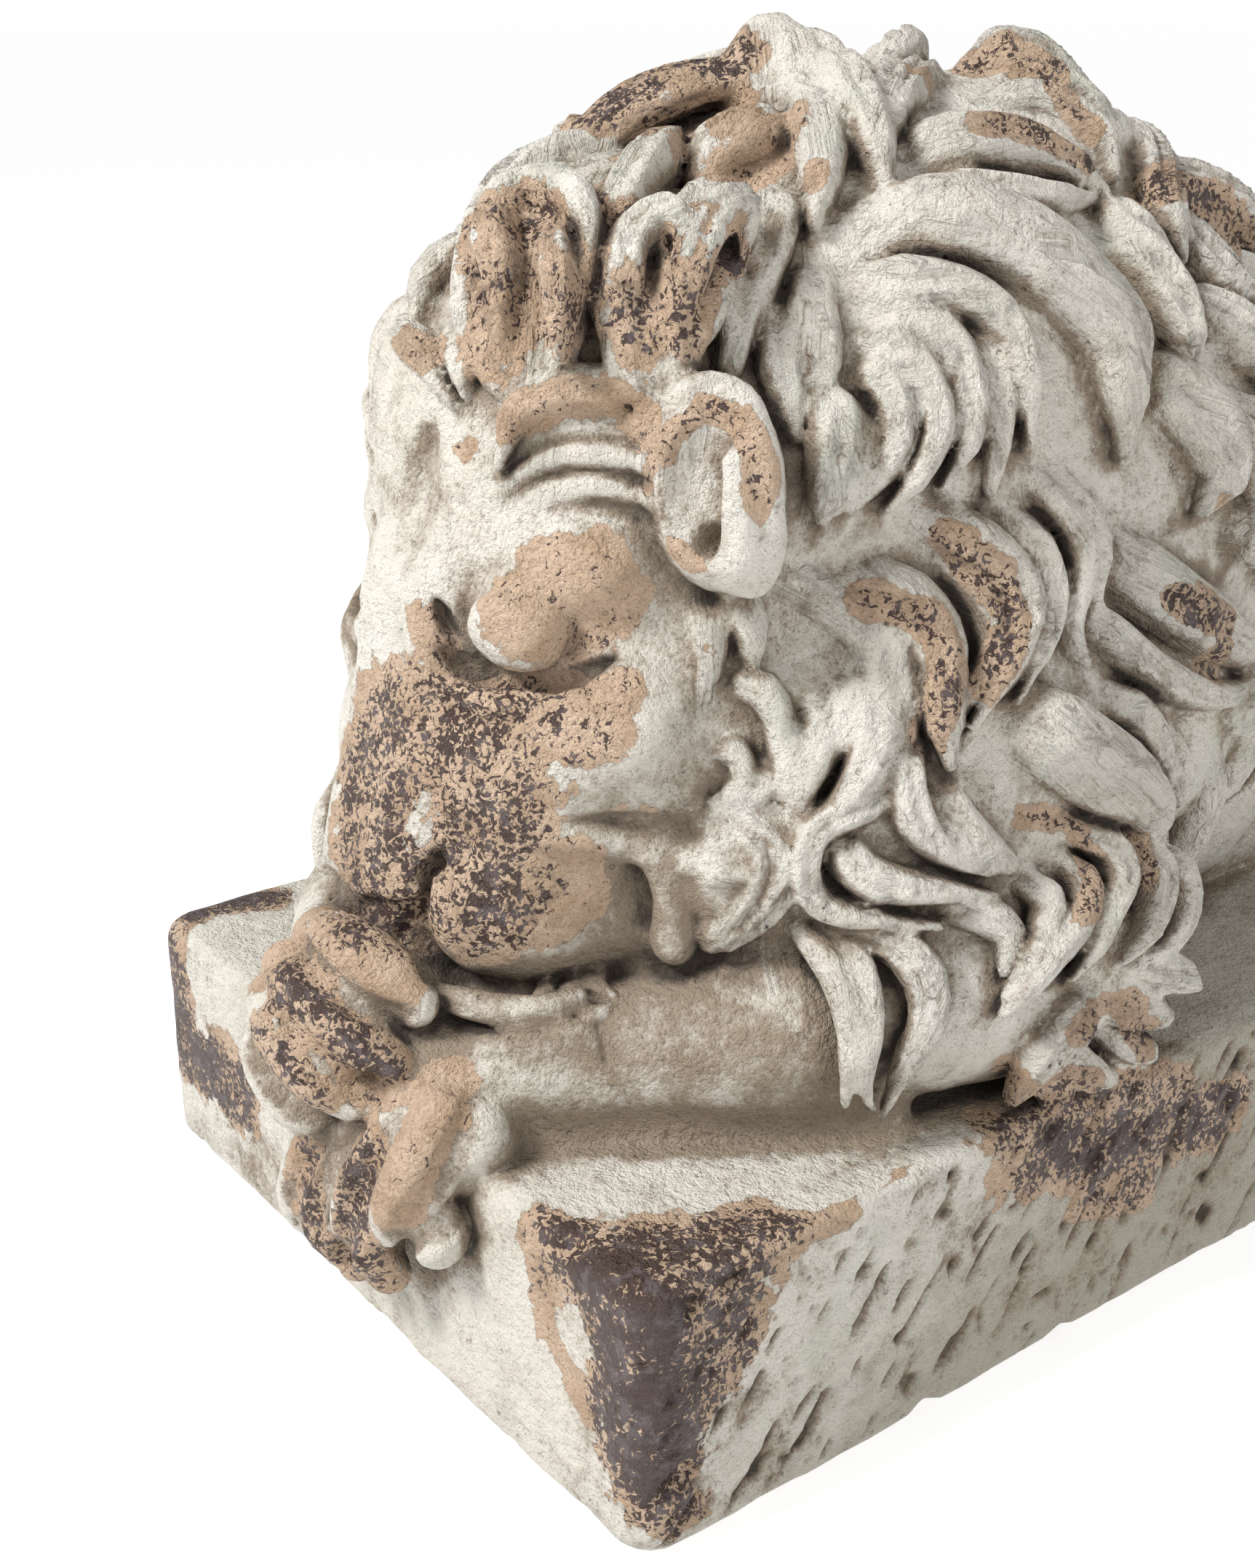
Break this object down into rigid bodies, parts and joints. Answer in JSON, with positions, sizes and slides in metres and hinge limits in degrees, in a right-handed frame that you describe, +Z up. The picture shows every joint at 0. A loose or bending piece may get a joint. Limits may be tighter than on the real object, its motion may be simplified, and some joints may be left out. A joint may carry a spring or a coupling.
{
  "type": "lion statue",
  "caption": "Sleeping lion statue with a full curled mane, chin on crossed forepaws, cast in one with a low rectangular plinth; a garden or entrance ornament.",
  "frame": {"origin": "middle of the plinth's flat underside", "axes": "+Z up, the lion looks along -Y, its left side is +X, the plinth's long sides run along Y"},
  "size_m": [0.4217, 0.9585, 0.5349],
  "materials": {
    "painted_cast_stone": "matt, flaking off-white paint over tan and dark brown"
  },
  "bodies": {
    "root": {"sleeping_lion": "painted_cast_stone"}
  },
  "joints": []
}
